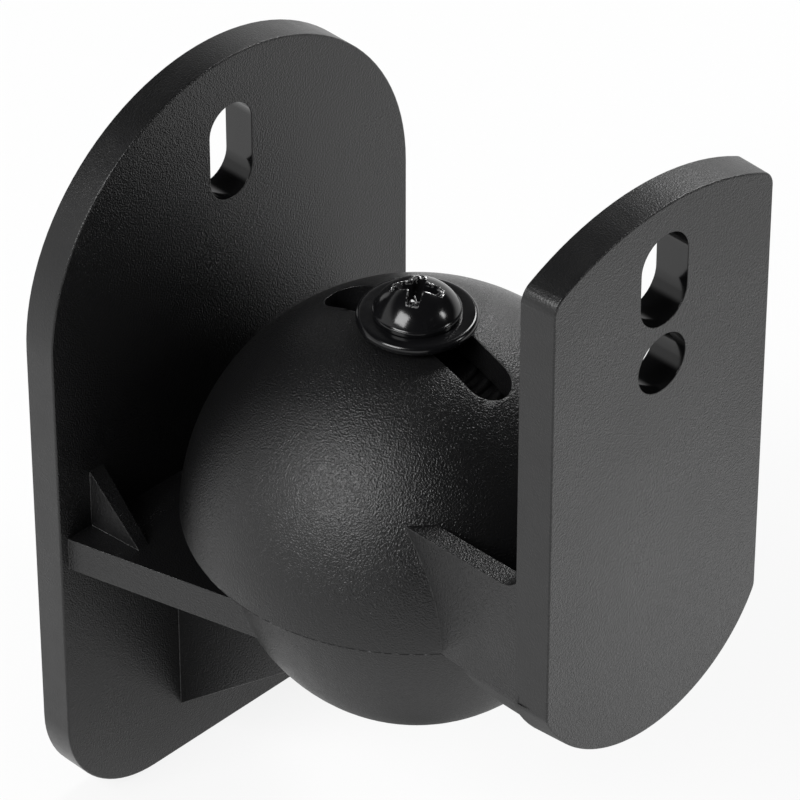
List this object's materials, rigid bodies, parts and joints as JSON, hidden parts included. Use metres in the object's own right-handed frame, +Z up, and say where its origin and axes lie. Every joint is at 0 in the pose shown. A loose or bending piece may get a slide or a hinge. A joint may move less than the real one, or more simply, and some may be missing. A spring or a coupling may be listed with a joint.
{
  "type": "speaker wall bracket",
  "caption": "Small wall bracket for a loudspeaker: a slotted dome with a drilled plate, clamped by a screw over a ball on a round-topped wall plate, so it pans and tilts.",
  "frame": {"origin": "on the back face of the wall plate, on its upright centre line, level with the centre of the ball", "axes": "+Z up, +Y into the wall, -Y towards the speaker, +X to the right seen from the speaker side"},
  "size_m": [0.047, 0.0586, 0.0906],
  "materials": {
    "moulded_black": "fine spark-eroded grain",
    "black_screw": "gloss black",
    "nut_steel": "zinc plated"
  },
  "bodies": {
    "wall_side": {"wall_bracket": "moulded_black", "clamp_screw": "black_screw", "clamp_nut": "nut_steel"},
    "pan_washer": {"clamp_washer": "black_screw"},
    "speaker_side": {"speaker_bracket": "moulded_black"}
  },
  "joints": [
    {"name": "pan", "type": "hinge", "parent": "wall_side", "child": "pan_washer", "pos_m": [0, -0.0282, 0], "axis": [0, 0, 1], "range_deg": [-60, 60]},
    {"name": "tilt", "type": "hinge", "parent": "pan_washer", "child": "speaker_side", "pos_m": [0, -0.0282, 0], "axis": [1, 0, 0], "range_deg": [-14, 24.5]}
  ]
}
